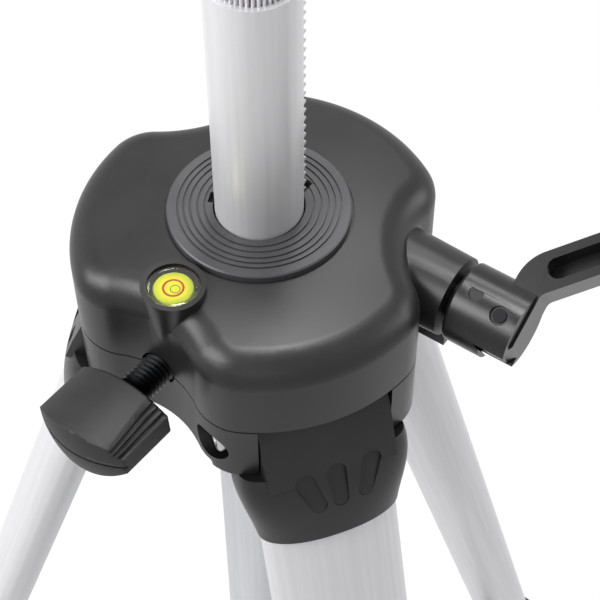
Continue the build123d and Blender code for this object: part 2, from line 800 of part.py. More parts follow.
with BuildPart() as lock_nut:
    with BuildSketch(lock_plane.offset(nut_start)):
        Rectangle(nut_flats, nut_flats)
        Circle(lock_screw_radius + running_ease, mode=Mode.SUBTRACT)
    extrude(amount=nut_thick)
save(lock_nut, "lock_nut")

knob_dome_centre = lock_plane.offset(knob_end - knob_dome).origin
with BuildPart() as knob_groove:
    with BuildSketch(knob_plane.offset(knob_start)):
        Rectangle(3 * knob_half_width, 2 * knob_groove_half)
    extrude(amount=knob_end - knob_start + 1)
    with Locations(knob_dome_centre):
        Sphere(knob_dome - knob_groove_depth, mode=Mode.SUBTRACT)


def knob_outline(flat):
    # Half a turn maps the outline on itself: a swelling face, a slanted one and a short edge
    low = (knob_half_width, knob_edge[0])
    high = (knob_half_width, knob_edge[1])
    with BuildSketch() as outline:
        with BuildLine():
            ThreePointArc(low, knob_crest, (-flat[0], -flat[1]))
            Polyline((-flat[0], -flat[1]), (-high[0], -high[1]), (-low[0], -low[1]))
            ThreePointArc((-low[0], -low[1]), (-knob_crest[0], -knob_crest[1]), flat)
            Polyline(flat, high, low)
        make_face()
    return outline.sketch


def rib_groove(flat, share, side):
    # Narrow bar across the slanted face, or across the one half a turn away
    run = (knob_half_width - flat[0], knob_edge[1] - flat[1])
    spot = (side * (flat[0] + share * run[0]), side * (flat[1] + share * run[1]))
    with BuildSketch() as groove:
        with Locations(spot):
            Rectangle(0.9, 1.6, rotation=degrees(atan2(run[1], run[0])))
    return groove.sketch


with BuildPart() as lock_knob:
    with BuildSketch(knob_plane.offset(knob_start)):
        add(knob_outline(knob_back_flat))
    with BuildSketch(knob_plane.offset(knob_end)):
        add(knob_outline(knob_front_flat))
    loft()
    with Locations(knob_dome_centre):
        Sphere(knob_dome, mode=Mode.INTERSECT)
    fillet(lock_knob.edges().sort_by(Axis((0, 0, 0), lock_plane.z_dir))[:6], 1.0)
    for share in knob_ribs:
        for side in (1, -1):
            with BuildSketch(knob_plane.offset(knob_start - 1)):
                add(rib_groove(knob_back_flat, share, side))
            with BuildSketch(knob_plane.offset(knob_end + 1)):
                add(rib_groove(knob_front_flat, share, side))
            loft(mode=Mode.SUBTRACT)
    add(knob_groove.part, mode=Mode.SUBTRACT)
    with BuildSketch(lock_plane.offset(knob_start)):
        Circle(lock_screw_radius)
    extrude(amount=12, mode=Mode.SUBTRACT)
save(lock_knob, "lock_knob")

# Leg spreader: hub on the guide tube, an arm to each leg
with BuildPart() as spreader_hub:
    with BuildSketch(Plane.XY.offset(spreader_z - spreader_hub_half)):
        Circle(spreader_hub_radius)
    extrude(amount=2 * spreader_hub_half)
    with BuildSketch(Plane.XY.offset(spreader_z - spreader_bar / 2 - 2)):
        with PolarLocations(0, 3, start_angle=leg_angles[0]):
            Rectangle(
                spreader_pivot_radius + 5,
                4 * spreader_half,
                align=(Align.MIN, Align.CENTER),
            )
    extrude(amount=spreader_bar + 4)
    with BuildSketch(Plane.XY.offset(spreader_z - spreader_hub_half)):
        with PolarLocations(spreader_hub_radius + 0.3, 3, start_angle=leg_angles[0]):
            Rectangle(30, 2 * spreader_half + 0.8, align=(Align.MIN, Align.CENTER))
    extrude(amount=2 * spreader_hub_half, mode=Mode.SUBTRACT)
    with BuildSketch(Plane.XY.offset(spreader_z - spreader_hub_half)):
        Circle(guide_radius + 0.4)
    extrude(amount=2 * spreader_hub_half, mode=Mode.SUBTRACT)
save(spreader_hub, "spreader_hub")

bracket_leg = (
    hinge_radius + bracket_along * sin(radians(leg_tilt)) - bracket_in * cos(radians(leg_tilt)),
    hinge_z - bracket_along * cos(radians(leg_tilt)) - bracket_in * sin(radians(leg_tilt)),
)
spreader_rise = spreader_z - bracket_leg[1]
spreader_run = bracket_leg[0] - spreader_pivot_radius
spreader_length = hypot(spreader_rise, spreader_run)
spreader_slope = -degrees(asin(spreader_rise / spreader_length))
spreader_middle = (
    (bracket_leg[0] + spreader_pivot_radius) / 2,
    (bracket_leg[1] + spreader_z) / 2,
)


def make_spreader_arm(angle):
    with BuildPart() as arm:
        with BuildSketch(upright(angle)):
            with Locations(spreader_middle):
                SlotCenterToCenter(spreader_length, spreader_bar, rotation=spreader_slope)
            with Locations(bracket_leg):
                Circle(spreader_rivet + running_ease, mode=Mode.SUBTRACT)
            with Locations((spreader_pivot_radius, spreader_z)):
                Circle(spreader_rivet + running_ease, mode=Mode.SUBTRACT)
        extrude(amount=spreader_half, both=True)
    return arm


def make_spreader_bracket(leg):
    # Saddle on the tube's inner side, with two ears and the rivet that the arm turns on
    slot_floor = -bracket_in + spreader_bar / 2 + 1
    with BuildPart() as bracket:
        with BuildSketch(leg_side(leg)):
            with Locations((-bracket_in, bracket_along)):
                Circle(spreader_bar / 2 + 0.5)
            with Locations((-bracket_in / 2, bracket_along)):
                Rectangle(bracket_in, spreader_bar + 1)
        extrude(amount=2 * spreader_half, both=True)
        with BuildSketch(leg_side(leg)):
            with Locations((-upper_section[1], bracket_along)):
                Rectangle(4, 2.8 * spreader_bar)
        extrude(amount=2.7 * spreader_half, both=True)
        with BuildSketch(leg_side(leg)):
            with Locations((slot_floor, bracket_along)):
                Rectangle(20, 4 * spreader_bar, align=(Align.MAX, Align.CENTER))
        extrude(amount=spreader_half + 0.4, both=True, mode=Mode.SUBTRACT)
        with BuildSketch(leg.offset(bracket_along - 3 * spreader_bar)):
            Ellipse(*upper_section)
        extrude(amount=6 * spreader_bar, mode=Mode.SUBTRACT)
        with BuildSketch(leg_side(leg)):
            with Locations((-bracket_in, bracket_along)):
                Circle(spreader_rivet)
        extrude(amount=2 * spreader_half, both=True)
    return bracket


def swelled_ellipse(half_width, half_depth, power):
    # Ellipse that fills its corners more as the power rises above two
    points = []
    for step in range(section_points):
        turn = 2 * pi * step / section_points
        reach = (abs(cos(turn)) ** power + abs(sin(turn)) ** power) ** (-1 / power)
        points.append((half_width * reach * cos(turn), half_depth * reach * sin(turn)))
    with BuildSketch() as section:
        with BuildLine():
            Spline(*points, periodic=True)
        make_face()
    return section.sketch


def make_leg_top(leg):
    # Neck between the lugs, shoulders below them, and a socket for the tube
    face = Plane(
        origin=leg.origin + leg.y_dir * finger_floor,
        x_dir=leg.x_dir,
        z_dir=leg.y_dir - leg.z_dir * finger_slope,
    )
    with BuildPart() as top:
        for along, half_width, half_depth, power in leg_top_sections:
            with BuildSketch(leg.offset(along)):
                add(swelled_ellipse(half_width, half_depth, power))
        loft()
        with BuildSketch(leg_side(leg)):
            Circle(neck_radius)
            Polygon((-10.4, 0), (neck_radius, 0), (12.0, 8), (12.2, 16), (-11.4, 16), align=None)
        extrude(amount=neck_half, both=True)
        for side, along, turn in finger_spots:
            with BuildSketch(face):
                for reach, radius in finger_ends:
                    with Locations((side - reach * sin(radians(turn)), reach * cos(radians(turn)) - along)):
                        Circle(radius)
                make_hull()
            extrude(amount=5, mode=Mode.SUBTRACT)
        with BuildSketch(leg.offset(upper_span[0])):
            Ellipse(*upper_section)
        extrude(amount=leg_top_end, mode=Mode.SUBTRACT)
        with BuildSketch(leg_side(leg)):
            Circle(hinge_pin_radius + running_ease)
        extrude(amount=neck_half, both=True, mode=Mode.SUBTRACT)
    return top


def make_tube(leg, span, section, wall):
    with BuildPart() as tube:
        with BuildSketch(leg.offset(span[0])):
            Ellipse(*section)
            Ellipse(section[0] - wall, section[1] - wall, mode=Mode.SUBTRACT)
        extrude(amount=span[1] - span[0])
    return tube


def clamp_pivot(span, section):
    return (section[1] + clamp_wall + lever_rise, span[0] + 2 * ear_radius)


def make_clamp(leg, span, section, tube_end, inner_section):
    # Collar on the end of one tube that grips the next, with ears for the lever
    shell = (section[0] + clamp_wall, section[1] + clamp_wall)
    pivot = clamp_pivot(span, section)
    with BuildPart() as clamp:
        with BuildSketch(leg.offset(span[0])):
            Ellipse(*shell)
        extrude(amount=span[1] - span[0])
        with BuildSketch(leg_side(leg)):
            with Locations(pivot):
                Circle(ear_radius)
            with Locations(pivot):
                Rectangle(2 * ear_radius + lever_rise, 2 * ear_radius, align=(Align.MAX, Align.CENTER))
        extrude(amount=ear_outer, both=True)
        with BuildSketch(leg_side(leg)):
            with Locations((shell[1] + 0.3, pivot[1])):
                Rectangle(20, 4 * ear_radius, align=(Align.MIN, Align.CENTER))
        extrude(amount=ear_inner, both=True, mode=Mode.SUBTRACT)
        with BuildSketch(leg_side(leg)):
            with Locations(pivot):
                Circle(lever_pin + running_ease)
        extrude(amount=ear_outer, both=True, mode=Mode.SUBTRACT)
        with BuildSketch(leg.offset(span[0])):
            Ellipse(*section)
        extrude(amount=tube_end - span[0], mode=Mode.SUBTRACT)
        with BuildSketch(leg.offset(tube_end)):
            Ellipse(inner_section[0] + tube_ease, inner_section[1] + tube_ease)
        extrude(amount=span[1] - tube_end, mode=Mode.SUBTRACT)
    return clamp


def make_lever(leg, span, section):
    # Flip lever with moulded pins, closed along the clamp
    pivot = clamp_pivot(span, section)
    with BuildPart() as lever:
        with BuildSketch(leg_side(leg)):
            with Locations(pivot):
                Circle(lever_barrel)
            with Locations((pivot[0] - lever_barrel, pivot[1])):
                Rectangle(lever_barrel, lever_length, align=(Align.MIN, Align.MIN))
            with Locations((pivot[0] - lever_barrel, pivot[1] + lever_length)):
                Rectangle(lever_barrel + 2, 3, align=(Align.MIN, Align.MAX))
        extrude(amount=lever_half, both=True)
        with BuildSketch(leg_side(leg)):
            with Locations(pivot):
                Circle(lever_pin)
        extrude(amount=ear_outer - 0.5, both=True)
    return lever


def make_foot(leg):
    with BuildPart() as foot:
        with BuildSketch(leg.offset(foot_start)):
            Ellipse(lower_section[0] + 2.4, lower_section[1] + 2.4)
        with BuildSketch(leg.offset(foot_centre)):
            Ellipse(lower_section[0] - 1.6, foot_radius - 1)
        loft()
        with Locations(leg.offset(foot_centre).origin):
            Sphere(foot_radius)
        with BuildSketch(leg.offset(foot_start)):
            Ellipse(*lower_section)
        extrude(amount=lower_span[1] - foot_start, mode=Mode.SUBTRACT)
    return foot


for number, angle in enumerate(leg_angles, start=1):
    leg = leg_plane(angle)
    save(make_spreader_arm(angle), f"spreader_arm_{number}")
    save(make_spreader_bracket(leg), f"spreader_bracket_{number}")
    save(make_leg_top(leg), f"leg_top_{number}")
    save(make_tube(leg, upper_span, upper_section, tube_walls[0]), f"upper_tube_{number}")
    save(make_tube(leg, middle_span, middle_section, tube_walls[1]), f"middle_tube_{number}")
    save(make_tube(leg, lower_span, lower_section, tube_walls[2]), f"lower_tube_{number}")
    upper_clamp = make_clamp(leg, upper_clamp_span, upper_section, upper_span[1], middle_section)
    lower_clamp = make_clamp(leg, lower_clamp_span, middle_section, middle_span[1], lower_section)
    save(upper_clamp, f"upper_clamp_{number}")
    save(lower_clamp, f"lower_clamp_{number}")
    save(make_lever(leg, upper_clamp_span, upper_section), f"upper_lever_{number}")
    save(make_lever(leg, lower_clamp_span, middle_section), f"lower_lever_{number}")
    save(make_foot(leg), f"foot_{number}")
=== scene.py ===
import json
import math
import bpy
from mathutils import Matrix, Vector

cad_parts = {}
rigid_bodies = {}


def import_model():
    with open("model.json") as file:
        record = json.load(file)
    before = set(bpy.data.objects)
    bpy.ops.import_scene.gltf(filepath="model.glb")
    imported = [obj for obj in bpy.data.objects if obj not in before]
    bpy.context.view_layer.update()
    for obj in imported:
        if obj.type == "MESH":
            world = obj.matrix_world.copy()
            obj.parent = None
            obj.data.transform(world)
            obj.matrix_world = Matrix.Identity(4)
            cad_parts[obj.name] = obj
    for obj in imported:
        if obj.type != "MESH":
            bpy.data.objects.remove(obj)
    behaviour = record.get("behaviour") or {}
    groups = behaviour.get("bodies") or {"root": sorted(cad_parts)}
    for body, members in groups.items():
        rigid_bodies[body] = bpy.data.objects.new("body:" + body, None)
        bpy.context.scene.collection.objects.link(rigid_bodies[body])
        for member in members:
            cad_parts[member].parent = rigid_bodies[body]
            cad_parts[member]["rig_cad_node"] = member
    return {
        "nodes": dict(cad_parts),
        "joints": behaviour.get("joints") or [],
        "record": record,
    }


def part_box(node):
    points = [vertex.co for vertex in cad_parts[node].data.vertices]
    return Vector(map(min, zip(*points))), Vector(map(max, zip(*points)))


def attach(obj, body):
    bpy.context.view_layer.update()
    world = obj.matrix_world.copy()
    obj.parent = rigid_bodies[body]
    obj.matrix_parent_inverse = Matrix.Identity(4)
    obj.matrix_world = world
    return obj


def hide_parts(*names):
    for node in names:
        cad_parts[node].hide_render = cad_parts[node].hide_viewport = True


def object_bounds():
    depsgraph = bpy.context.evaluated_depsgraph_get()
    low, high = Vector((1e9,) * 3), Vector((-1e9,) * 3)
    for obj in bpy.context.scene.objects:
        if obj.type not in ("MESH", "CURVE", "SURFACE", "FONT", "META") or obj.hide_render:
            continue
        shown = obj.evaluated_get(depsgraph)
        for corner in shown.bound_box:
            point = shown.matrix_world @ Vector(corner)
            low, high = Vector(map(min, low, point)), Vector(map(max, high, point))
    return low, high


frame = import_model()
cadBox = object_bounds()
mm = 0.001
record = frame["record"]
bodyOf = {node: body for body, nodes in record["behaviour"]["bodies"].items() for node in nodes}
slotOf = {part["node"]: part["material_slot"] for part in record["subparts"]}
jointNamed = {joint["name"]: joint for joint in frame["joints"]}
print("frame loaded:", len(frame["nodes"]), "nodes")

# Places that the frame gives

upAxis = Vector((0, 0, 1))
legNumbers = (1, 2, 3)
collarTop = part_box("column_collar")[1].z
groundZ = cadBox[0].z


def jointAxis(name):
    return Vector(jointNamed[name]["axis"])


def jointPoint(name):
    return Vector(jointNamed[name]["pos_m"])


lockAxis = jointAxis("lock_turn")
lockPoint = jointPoint("lock_turn")
lockLine = lockPoint - lockAxis * lockPoint.dot(lockAxis)  # nearest the column
gripAxis = jointAxis("grip_spin")
gripLine = jointPoint("grip_spin")
legHinge = {k: jointPoint(f"leg_{k}_fold") for k in legNumbers}
legAcross = {k: jointAxis(f"leg_{k}_fold") for k in legNumbers}
legDown = {k: jointAxis(f"middle_{k}_slide") for k in legNumbers}
legOut = {k: legDown[k].cross(legAcross[k]) for k in legNumbers}


# Node and mesh helpers

def hexToLinear(code):
    channels = [int(code[i:i + 2], 16) / 255 for i in (1, 3, 5)]
    linear = [c / 12.92 if c <= 0.04045 else ((c + 0.055) / 1.055) ** 2.4 for c in channels]
    return (*linear, 1.0)


def addNode(tree, kind, values=None, links=None, stops=(), **settings):
    # stops are the (place, colour) pairs of a colour ramp
    node = tree.nodes.new(kind)
    for key, value in settings.items():
        setattr(node, key, value)
    for key, value in (values or {}).items():
        node.inputs[key].default_value = value
    for key, source in (links or {}).items():
        tree.links.new(source, node.inputs[key])
    for i, (place, colour) in enumerate(stops):
        node.color_ramp.elements[i].position = place
        node.color_ramp.elements[i].color = hexToLinear(colour)
    return node


def startMaterial(name, values):
    material = bpy.data.materials.new(name)
    material.use_nodes = True
    tree = material.node_tree
    shader = tree.nodes["Principled BSDF"]
    for key, value in values.items():
        shader.inputs[key].default_value = value
    coords = addNode(tree, "ShaderNodeTexCoord").outputs["Object"]
    return material, tree, shader, coords


def deselectAll():
    if bpy.context.mode != "OBJECT":
        bpy.ops.object.mode_set(mode="OBJECT")
    bpy.ops.object.select_all(action="DESELECT")


def pickOnly(piece):
    deselectAll()
    piece.select_set(True)
    bpy.context.view_layer.objects.active = piece


def editWhole(piece):
    pickOnly(piece)
    bpy.ops.object.mode_set(mode="EDIT")
    bpy.ops.mesh.select_all(action="SELECT")


def leaveEdit():
    bpy.ops.object.mode_set(mode="OBJECT")


def pickEdges(piece, wanted):
    # opens the piece with only those edges selected whose two ends pass the test
    editWhole(piece)
    bpy.ops.mesh.select_mode(type="EDGE")
    bpy.ops.mesh.select_all(action="DESELECT")
    leaveEdit()
    for edge in piece.data.edges:
        ends = [piece.data.vertices[i].co for i in edge.vertices]
        edge.select = wanted(*ends)
    bpy.ops.object.mode_set(mode="EDIT")


def applyModifier(piece, kind, **settings):
    modifier = piece.modifiers.new(kind.title(), kind)
    for key, value in settings.items():
        setattr(modifier, key, value)
    bpy.context.view_layer.objects.active = piece
    bpy.ops.object.modifier_apply(modifier=modifier.name)


def bakePlace(piece, place):
    # puts a piece where it belongs in the frame and bakes that into its mesh
    piece.matrix_world = place
    pickOnly(piece)
    bpy.ops.object.transform_apply(location=True, rotation=True, scale=True)


def standAlong(piece, origin, axis):
    # turns a piece made along +Z onto an axis of the frame
    turn = Vector(axis).to_track_quat("Z", "Y").to_matrix().to_4x4()
    bakePlace(piece, Matrix.Translation(origin) @ turn)


def shadeByAngle(piece, degrees=30):
    pickOnly(piece)
    bpy.ops.object.shade_smooth_by_angle(angle=math.radians(degrees))


def turnedPiece(name, rings, vertices=48):
    # a disc drawn up through rings of (radius, height) in millimetres, as on a lathe
    deselectAll()
    bpy.ops.mesh.primitive_circle_add(
        vertices=vertices, radius=rings[0][0] * mm, fill_type="NGON", location=(0, 0, 0))
    piece = bpy.context.object
    piece.name = name
    bpy.ops.object.mode_set(mode="EDIT")
    bpy.ops.mesh.select_all(action="SELECT")
    bpy.ops.transform.translate(value=(0, 0, rings[0][1] * mm))
    for (radius, height), (nextRadius, nextHeight) in zip(rings, rings[1:]):
        bpy.ops.mesh.extrude_region_move(
            TRANSFORM_OT_translate={"value": (0, 0, (nextHeight - height) * mm)})
        share = nextRadius / radius
        bpy.ops.transform.resize(value=(share, share, 1), center_override=(0, 0, nextHeight * mm))
    bpy.ops.mesh.select_all(action="SELECT")
    bpy.ops.mesh.normals_make_consistent(inside=False)
    leaveEdit()
    return piece


def wireRing(name, radius, wire, stretch):
    # a ring of round wire, pressed flat or drawn out of round
    deselectAll()
    bpy.ops.mesh.primitive_torus_add(
        major_radius=radius * mm, minor_radius=wire * mm, major_segments=64, minor_segments=10)
    ring = bpy.context.object
    ring.name = name
    editWhole(ring)
    bpy.ops.transform.resize(value=stretch)
    leaveEdit()
    return ring


def joinPieces(main, *others):
    deselectAll()
    for other in others:
        other.select_set(True)
    main.select_set(True)
    bpy.context.view_layer.objects.active = main
    bpy.ops.object.join()
    return main


def finishPiece(piece, body, slotName, material, *nodes):
    piece.data.materials.clear()
    piece.data.materials.append(material)
    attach(piece, body)
    if nodes:
        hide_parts(*nodes)


# Materials

# Pebble is (width in millimetres, strength)
mouldedLooks = {
    "crown_plastic": {"colour": "#171718", "pale": "#1E1E1F", "rough": 0.36, "pebble": (0.5, 0.06)},
    "collar_plastic": {"colour": "#38383A", "pale": "#424244", "rough": 0.38, "pebble": (0.5, 0.05)},
    "leg_top_plastic": {"colour": "#161617", "pale": "#1D1D1E", "rough": 0.37, "pebble": (0.5, 0.07)},
    "crank_plastic": {"colour": "#131314", "pale": "#19191A", "rough": 0.27, "pebble": (0.5, 0.04)},
    "knob_plastic": {"colour": "#171718", "pale": "#1F1F20", "rough": 0.52, "pebble": (0.5, 0.07)},
    "grip_plastic": {"colour": "#131314", "pale": "#1A1A1B", "rough": 0.50, "pebble": (0.7, 0.12)},
    "clamp_plastic": {"colour": "#19191A", "pale": "#212122", "rough": 0.36, "pebble": (0.5, 0.07)},
    "lever_plastic": {"colour": "#141415", "pale": "#1B1B1D", "rough": 0.34, "pebble": (0.5, 0.07)},
    "fitting_plastic": {"colour": "#121213", "pale": "#191A1B", "rough": 0.44, "pebble": (0.6, 0.07)},
}
mouldedSkin = {
    "specular": 0.3, "cloudMm": 14, "smoother": 0.03, "duller": 0.05, "pebbleDeepMm": 0.3,
}


def mouldedAbs(name, look):
    # ABS from a spark-eroded mould: an even satin skin with a fine pebble, paler in patches
    material, tree, shader, coords = startMaterial(name, {
        "IOR": 1.5, "Specular IOR Level": mouldedSkin["specular"]})
    cloud = addNode(tree, "ShaderNodeTexNoise", {
        "Scale": 1 / (mouldedSkin["cloudMm"] * mm), "Detail": 3.0}, {"Vector": coords})
    tone = addNode(tree, "ShaderNodeValToRGB", None, {"Fac": cloud.outputs["Fac"]},
                   stops=((0.3, look["colour"]), (0.75, look["pale"])))
    tree.links.new(tone.outputs["Color"], shader.inputs["Base Color"])
    smear = addNode(tree, "ShaderNodeMapRange", {
        "To Min": look["rough"] - mouldedSkin["smoother"],
        "To Max": look["rough"] + mouldedSkin["duller"]}, {"Value": cloud.outputs["Fac"]})
    tree.links.new(smear.outputs["Result"], shader.inputs["Roughness"])
    # the real pebble is about 0.1 mm, drawn coarser so that it shows
    pebbleMm, strength = look["pebble"]
    pebble = addNode(tree, "ShaderNodeTexNoise", {
        "Scale": 1 / (pebbleMm * mm), "Detail": 2.0, "Roughness": 0.6}, {"Vector": coords})
    bump = addNode(tree, "ShaderNodeBump", {
        "Strength": strength, "Distance": mouldedSkin["pebbleDeepMm"] * mm},
        {"Height": pebble.outputs["Fac"]})
    tree.links.new(bump.outputs["Normal"], shader.inputs["Normal"])
    return material


anodisedLooks = {
    "column_metal": {"colour": "#C4C4C6", "pale": "#CBCBCD", "rough": 0.40, "streakMm": 1.6},
    "leg_metal": {"colour": "#BEBEC1", "pale": "#C6C6C9", "rough": 0.42, "streakMm": 2.0},
    "guide_metal": {"colour": "#B4B5B8", "pale": "#BCBDC0", "rough": 0.42, "streakMm": 1.4},
    "arm_metal": {"colour": "#BBBCBF", "pale": "#C4C5C8", "rough": 0.38, "streakMm": 1.0},
}
anodisedSkin = {
    "metallic": 0.45, "drawnShare": 0.02, "smoother": 0.05, "duller": 0.06,
    "etchMm": 0.45, "etchDeepMm": 0.1, "etchBump": 0.06,
}


def anodisedTube(name, look, along):
    # drawn aluminium, matt anodised: a pale silky metal with faint streaks down the tube
    material, tree, shader, coords = startMaterial(name, {"Metallic": anodisedSkin["metallic"]})
    turn = Vector(along).rotation_difference(upAxis).to_euler()
    upright = addNode(tree, "ShaderNodeMapping", {"Rotation": turn}, {"Vector": coords})
    drawn = addNode(tree, "ShaderNodeMapping", {
        "Scale": (1, 1, anodisedSkin["drawnShare"])}, {"Vector": upright.outputs["Vector"]})
    streak = addNode(tree, "ShaderNodeTexNoise", {
        "Scale": 1 / (look["streakMm"] * mm), "Detail": 3.0}, {"Vector": drawn.outputs["Vector"]})
    tone = addNode(tree, "ShaderNodeValToRGB", None, {"Fac": streak.outputs["Fac"]},
                   stops=((0.35, look["colour"]), (0.7, look["pale"])))
    tree.links.new(tone.outputs["Color"], shader.inputs["Base Color"])
    # etched skin under the oxide, about 0.05 mm in life, drawn coarser so that it shows
    etch = addNode(tree, "ShaderNodeTexNoise", {
        "Scale": 1 / (anodisedSkin["etchMm"] * mm), "Detail": 2.0}, {"Vector": coords})
    rough = addNode(tree, "ShaderNodeMapRange", {
        "To Min": look["rough"] - anodisedSkin["smoother"],
        "To Max": look["rough"] + anodisedSkin["duller"]}, {"Value": etch.outputs["Fac"]})
    tree.links.new(rough.outputs["Result"], shader.inputs["Roughness"])
    bump = addNode(tree, "ShaderNodeBump", {
        "Strength": anodisedSkin["etchBump"], "Distance": anodisedSkin["etchDeepMm"] * mm},
        {"Height": etch.outputs["Fac"]})
    tree.links.new(bump.outputs["Normal"], shader.inputs["Normal"])
    return material


# groove is the painted shade in the grooves, ridge the painted highlight on the ridges
zincLook = {
    "groove": "#4F4D54", "ridge": "#C9C8CD", "grooveDeepMm": 0.9,
    "patchMm": 0.7, "patchShare": 0.35,
}


def castZinc(name, ridgeRadius):
    # zinc casting: the grooves painted a darker grey-violet as shade and the ridges painted bright as
    # a highlight, dimmed in random patches
    material, tree, shader, coords = startMaterial(name, {"Metallic": 0.55, "Roughness": 0.38})
    flat = addNode(tree, "ShaderNodeVectorMath", {1: (1, 1, 0)}, {0: coords}, operation="MULTIPLY")
    reach = addNode(tree, "ShaderNodeVectorMath", None, {
        0: flat.outputs["Vector"]}, operation="LENGTH")
    share = addNode(tree, "ShaderNodeMapRange", {
        "From Min": ridgeRadius - zincLook["grooveDeepMm"] * mm,
        "From Max": ridgeRadius}, {"Value": reach.outputs["Value"]})
    patch = addNode(tree, "ShaderNodeTexNoise", {
        "Scale": 1 / (zincLook["patchMm"] * mm), "Detail": 3.0}, {"Vector": coords})
    patchDimming = addNode(tree, "ShaderNodeMath", {
        1: zincLook["patchShare"]}, {0: patch.outputs["Fac"]}, operation="MULTIPLY")
    # painted highlight on the ridges, with less of it in random patches
    ridgeHighlight = addNode(tree, "ShaderNodeMath", None, {
        0: share.outputs["Result"], 1: patchDimming.outputs["Value"]}, operation="SUBTRACT")
    tone = addNode(tree, "ShaderNodeValToRGB", None, {"Fac": ridgeHighlight.outputs["Value"]},
                   stops=((0.15, zincLook["groove"]), (0.75, zincLook["ridge"])))
    tree.links.new(tone.outputs["Color"], shader.inputs["Base Color"])
    return material


turnedLooks = {
    "plain_steel": {"name": "turnedSteel", "colour": "#A9AAAC", "pale": "#C6C7C9", "rough": 0.3},
    "dark_screw": {"name": "blackenedSteel", "colour": "#141516", "pale": "#232426", "rough": 0.38},
}
toolMark = {"widthMm": 0.6, "smoother": 0.06, "duller": 0.08}


def turnedMetal(look):
    # steel off the lathe, bright or blackened: fine tool marks change its tone and gloss a little
    material, tree, shader, coords = startMaterial(look["name"], {"Metallic": 1.0})
    fine = addNode(tree, "ShaderNodeTexNoise", {
        "Scale": 1 / (toolMark["widthMm"] * mm), "Detail": 3.0}, {"Vector": coords})
    tone = addNode(tree, "ShaderNodeValToRGB", None, {"Fac": fine.outputs["Fac"]},
                   stops=((0.0, look["colour"]), (1.0, look["pale"])))
    tree.links.new(tone.outputs["Color"], shader.inputs["Base Color"])
    gloss = addNode(tree, "ShaderNodeMapRange", {
        "To Min": look["rough"] - toolMark["smoother"],
        "To Max": look["rough"] + toolMark["duller"]}, {"Value": fine.outputs["Fac"]})
    tree.links.new(gloss.outputs["Result"], shader.inputs["Roughness"])
    return material


def clearAcrylic(name):
    # cast acrylic, polished: clear with a bright rim
    material, tree, shader, coords = startMaterial(name, {
        "Base Color": hexToLinear("#F4F5E2"), "IOR": 1.49, "Transmission Weight": 1.0,
        "Specular IOR Level": 0.3})
    hazeMm = 3
    haze = addNode(tree, "ShaderNodeTexNoise", {"Scale": 1 / (hazeMm * mm)}, {"Vector": coords})
    gloss = addNode(tree, "ShaderNodeMapRange", {
        "To Min": 0.01, "To Max": 0.05}, {"Value": haze.outputs["Fac"]})
    tree.links.new(gloss.outputs["Result"], shader.inputs["Roughness"])
    return material


fluidLook = {"middle": "#DEDA0C", "rim": "#B4BE12", "rimMm": 5.6}


def levelFluid(name, centre):
    # dyed spirit over a white plate: bright yellow, greener towards the wall of the vial
    material, tree, shader, coords = startMaterial(name, {"Roughness": 0.25, "IOR": 1.36})
    centred = addNode(tree, "ShaderNodeMapping", {"Location": -centre}, {"Vector": coords})
    reach = addNode(tree, "ShaderNodeVectorMath", None, {
        0: centred.outputs["Vector"]}, operation="LENGTH")
    share = addNode(tree, "ShaderNodeMapRange", {
        "From Max": fluidLook["rimMm"] * mm}, {"Value": reach.outputs["Value"]})
    tone = addNode(tree, "ShaderNodeValToRGB", None, {"Fac": share.outputs["Result"]},
                   stops=((0.72, fluidLook["middle"]), (1.0, fluidLook["rim"])))
    tree.links.new(tone.outputs["Color"], shader.inputs["Base Color"])
    return material


def printedInk(name, colour):
    # screen ink: flat colour with slight thinning
    material, tree, shader, coords = startMaterial(name, {"Roughness": 0.4})
    thinMm = 0.8
    thin = addNode(tree, "ShaderNodeTexNoise", {"Scale": 1 / (thinMm * mm)}, {"Vector": coords})
    tone = addNode(tree, "ShaderNodeHueSaturation", {"Color": hexToLinear(colour)})
    depth = addNode(tree, "ShaderNodeMapRange", {
        "To Min": 0.92, "To Max": 1.06}, {"Value": thin.outputs["Fac"]})
    tree.links.new(depth.outputs["Result"], tone.inputs["Value"])
    tree.links.new(tone.outputs["Color"], shader.inputs["Base Color"])
    return material


rubberLook = {
    "colour": "#191919", "bloom": "#2A2A29", "bloomMm": 9,
    "pitMm": 0.8, "pitDeepMm": 0.3, "pitBump": 0.2,
}


def mouldedRubber(name):
    # black rubber: dull, with a dusty bloom in places
    material, tree, shader, coords = startMaterial(name, {"IOR": 1.52})
    bloom = addNode(tree, "ShaderNodeTexNoise", {
        "Scale": 1 / (rubberLook["bloomMm"] * mm), "Detail": 4.0}, {"Vector": coords})
    tone = addNode(tree, "ShaderNodeValToRGB", None, {"Fac": bloom.outputs["Fac"]},
                   stops=((0.4, rubberLook["colour"]), (0.8, rubberLook["bloom"])))
    tree.links.new(tone.outputs["Color"], shader.inputs["Base Color"])
    dull = addNode(tree, "ShaderNodeMapRange", {
        "To Min": 0.62, "To Max": 0.8}, {"Value": bloom.outputs["Fac"]})
    tree.links.new(dull.outputs["Result"], shader.inputs["Roughness"])
    pit = addNode(tree, "ShaderNodeTexNoise", {
        "Scale": 1 / (rubberLook["pitMm"] * mm), "Detail": 2.0}, {"Vector": coords})
    bump = addNode(tree, "ShaderNodeBump", {
        "Strength": rubberLook["pitBump"], "Distance": rubberLook["pitDeepMm"] * mm},
        {"Height": pit.outputs["Fac"]})
    tree.links.new(bump.outputs["Normal"], shader.inputs["Normal"])
    return material


